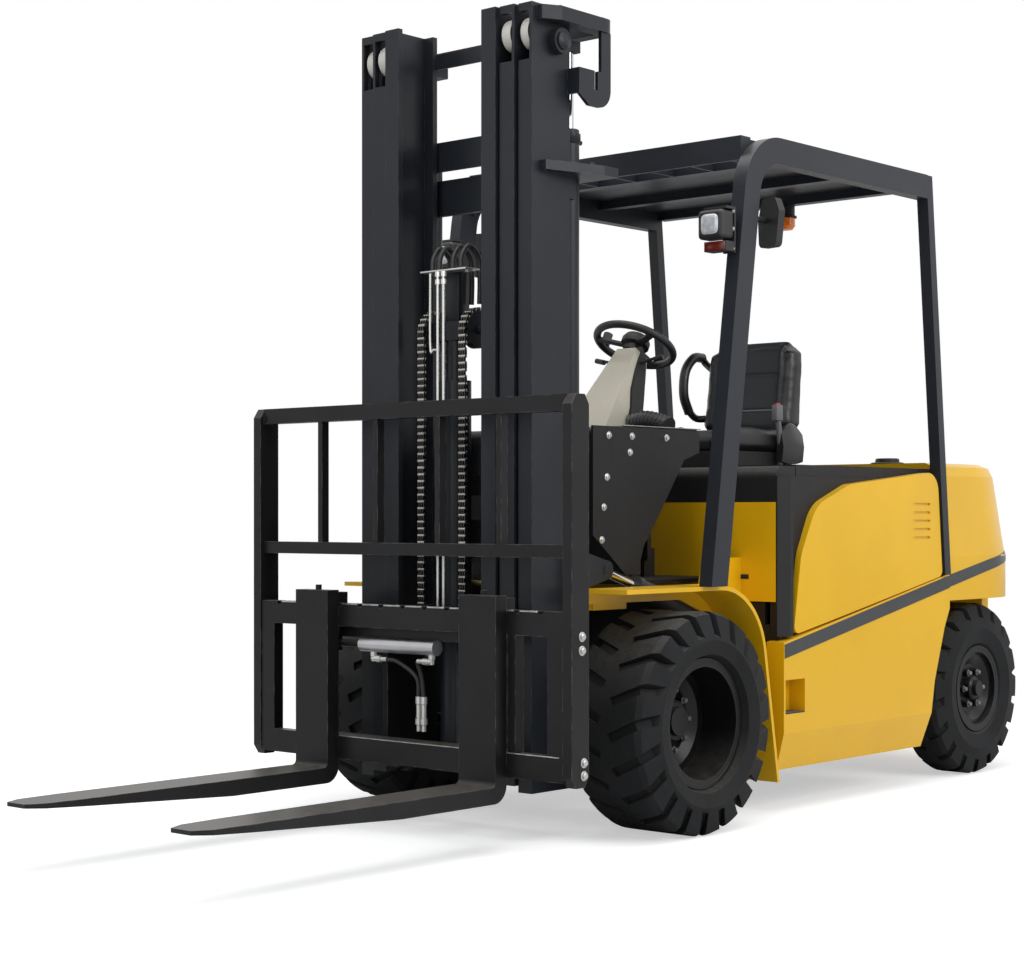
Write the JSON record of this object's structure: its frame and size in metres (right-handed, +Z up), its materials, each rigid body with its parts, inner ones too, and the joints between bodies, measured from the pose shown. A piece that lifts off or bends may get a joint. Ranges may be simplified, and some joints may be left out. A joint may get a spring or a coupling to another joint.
{
  "type": "counterbalance forklift truck",
  "caption": "Electric counterbalance forklift truck with three-stage mast, side shifter, movable forks, overhead guard and steered rear wheels.",
  "frame": {"origin": "on the floor under the middle of the whole truck, forks included, on its centre plane", "axes": "+X to the truck's left, +Y to its rear (the forks point along -Y), +Z up"},
  "size_m": [1.454, 4.406, 2.607],
  "materials": {
    "body_yellow": "gloss paint",
    "mast_charcoal": "satin paint",
    "guard_charcoal": "satin paint",
    "fork_black": "worn satin paint",
    "chassis_black": "matt paint",
    "trim_black": "grained plastic",
    "cream_cover": "smooth plastic",
    "tyre_black": "matt rubber",
    "rim_black": "satin paint",
    "rod_chrome": "polished",
    "cylinder_silver": "bare metal",
    "chain_steel": "oiled steel",
    "axle_iron": "painted casting",
    "seat_vinyl": "black vinyl",
    "wheel_rubber": "moulded grip",
    "beacon_amber": "translucent amber lens",
    "mirror_housing": "moulded housing",
    "lamp_housing": "moulded housing",
    "battery_case": "steel tray",
    "pin_steel": "zinc plated",
    "counterweight_iron": "yellow gloss paint"
  },
  "bodies": {
    "chassis": {"battery": "battery_case", "beacon": "beacon_amber", "chassis_frame": "chassis_black", "counterweight": "counterweight_iron", "cowl": "trim_black", "cowl_plates": "trim_black", "drive_axle": "axle_iron", "fenders": "body_yellow", "floor_plate": "chassis_black", "guard_front_legs": "guard_charcoal", "guard_rear_legs": "guard_charcoal", "headlamps": "lamp_housing", "controls": "trim_black", "mirrors": "mirror_housing", "roof": "guard_charcoal", "side_panels": "body_yellow", "side_skirts": "body_yellow", "side_trims": "trim_black", "steer_axle": "chassis_black", "steering_column": "cream_cover", "step_walls": "body_yellow", "tow_pin": "pin_steel"},
    "hood": {"hood": "trim_black", "seat_base": "trim_black", "seat_cushion": "seat_vinyl", "seat_backrest": "seat_vinyl"},
    "steering_wheel": {"steering_wheel": "wheel_rubber"},
    "front_wheel_left": {"front_tyre_left": "tyre_black", "front_rim_left": "rim_black"},
    "front_wheel_right": {"front_tyre_right": "tyre_black", "front_rim_right": "rim_black"},
    "knuckle_left": {"knuckle_left": "chassis_black"},
    "knuckle_right": {"knuckle_right": "chassis_black"},
    "rear_wheel_left": {"rear_tyre_left": "tyre_black", "rear_rim_left": "rim_black"},
    "rear_wheel_right": {"rear_tyre_right": "tyre_black", "rear_rim_right": "rim_black"},
    "mast_outer": {"mast_outer": "mast_charcoal", "lift_cylinders": "mast_charcoal"},
    "mast_mid": {"mast_mid": "mast_charcoal", "lift_rods": "rod_chrome"},
    "mast_inner": {"mast_inner": "mast_charcoal", "free_cylinder": "mast_charcoal", "chain_lower": "chain_steel"},
    "crosshead": {"crosshead": "mast_charcoal", "chain_front": "chain_steel", "chain_upper": "chain_steel"},
    "carriage": {"carriage": "fork_black", "shift_cylinder": "cylinder_silver"},
    "shifter": {"shift_frame": "fork_black", "load_backrest": "fork_black"},
    "fork_left": {"fork_left": "fork_black"},
    "fork_right": {"fork_right": "fork_black"},
    "tilt_barrel_left": {"tilt_barrel_left": "axle_iron"},
    "tilt_barrel_right": {"tilt_barrel_right": "axle_iron"},
    "tilt_rod_left": {"tilt_rod_left": "rod_chrome"},
    "tilt_rod_right": {"tilt_rod_right": "rod_chrome"}
  },
  "joints": [
    {"name": "mast_tilt", "type": "hinge", "parent": "chassis", "child": "mast_outer", "pos_m": [0, -0.347, 0.3555], "axis": [1, 0, 0], "range_deg": [-6, 6]},
    {"name": "mast_lift", "type": "slide", "parent": "mast_outer", "child": "mast_mid", "axis": [0, 0, 1], "range_m": [0, 1.6]},
    {"name": "mast_extend", "type": "slide", "parent": "mast_mid", "child": "mast_inner", "axis": [0, 0, 1], "range_m": [0, 1.6]},
    {"name": "carriage_lift", "type": "slide", "parent": "mast_inner", "child": "carriage", "axis": [0, 0, 1], "range_m": [-0.1, 1.25]},
    {"name": "free_lift", "type": "slide", "parent": "mast_inner", "child": "crosshead", "axis": [0, 0, 1], "range_m": [-0.05, 0.625], "deforming": ["chain_front"]},
    {"name": "side_shift", "type": "slide", "parent": "carriage", "child": "shifter", "axis": [1, 0, 0], "range_m": [-0.1, 0.1]},
    {"name": "fork_left_position", "type": "slide", "parent": "shifter", "child": "fork_left", "axis": [1, 0, 0], "range_m": [-0.23, 0.205]},
    {"name": "fork_right_position", "type": "slide", "parent": "shifter", "child": "fork_right", "axis": [-1, 0, 0], "range_m": [-0.23, 0.205]},
    {"name": "tilt_barrel_left_swing", "type": "hinge", "parent": "chassis", "child": "tilt_barrel_left", "pos_m": [0.4, 0.053, 0.665], "axis": [1, 0, 0], "range_deg": [-3.2, 3.2]},
    {"name": "tilt_barrel_right_swing", "type": "hinge", "parent": "chassis", "child": "tilt_barrel_right", "pos_m": [-0.4, 0.053, 0.665], "axis": [1, 0, 0], "range_deg": [-3.2, 3.2]},
    {"name": "tilt_rod_left_stroke", "type": "slide", "parent": "tilt_barrel_left", "child": "tilt_rod_left", "axis": [0, -0.9545, 0.2983], "range_m": [-0.046, 0.046]},
    {"name": "tilt_rod_right_stroke", "type": "slide", "parent": "tilt_barrel_right", "child": "tilt_rod_right", "axis": [0, -0.9545, 0.2983], "range_m": [-0.046, 0.046]},
    {"name": "front_wheel_left_spin", "type": "hinge", "parent": "chassis", "child": "front_wheel_left", "pos_m": [0.568, -0.347, 0.3555], "axis": [1, 0, 0], "continuous": true},
    {"name": "front_wheel_right_spin", "type": "hinge", "parent": "chassis", "child": "front_wheel_right", "pos_m": [-0.568, -0.347, 0.3555], "axis": [1, 0, 0], "continuous": true},
    {"name": "steer_left", "type": "hinge", "parent": "chassis", "child": "knuckle_left", "pos_m": [0.4, 1.653, 0.335], "axis": [0, 0, 1], "range_deg": [-65, 65]},
    {"name": "steer_right", "type": "hinge", "parent": "chassis", "child": "knuckle_right", "pos_m": [-0.4, 1.653, 0.335], "axis": [0, 0, 1], "range_deg": [-65, 65]},
    {"name": "rear_wheel_left_spin", "type": "hinge", "parent": "knuckle_left", "child": "rear_wheel_left", "pos_m": [0.503, 1.653, 0.335], "axis": [1, 0, 0], "continuous": true},
    {"name": "rear_wheel_right_spin", "type": "hinge", "parent": "knuckle_right", "child": "rear_wheel_right", "pos_m": [-0.503, 1.653, 0.335], "axis": [1, 0, 0], "continuous": true},
    {"name": "steering_wheel_turn", "type": "hinge", "parent": "chassis", "child": "steering_wheel", "pos_m": [0, 0.199, 1.626], "axis": [0, 0.4695, 0.8829], "continuous": true},
    {"name": "hood_open", "type": "hinge", "parent": "chassis", "child": "hood", "pos_m": [0, 1.281, 1.192], "axis": [-1, 0, 0], "range_deg": [0, 45]}
  ],
  "couplings": [
    {"joint": "mast_extend", "follows": "mast_lift", "ratio": 1},
    {"joint": "free_lift", "follows": "carriage_lift", "ratio": 0.5},
    {"joint": "tilt_barrel_left_swing", "follows": "mast_tilt", "ratio": 0.506},
    {"joint": "tilt_barrel_right_swing", "follows": "mast_tilt", "ratio": 0.506},
    {"joint": "tilt_rod_left_stroke", "follows": "mast_tilt", "m_per_rad": 0.4147},
    {"joint": "tilt_rod_right_stroke", "follows": "mast_tilt", "m_per_rad": 0.4147},
    {"joint": "steer_right", "follows": "steer_left", "ratio": 1}
  ]
}
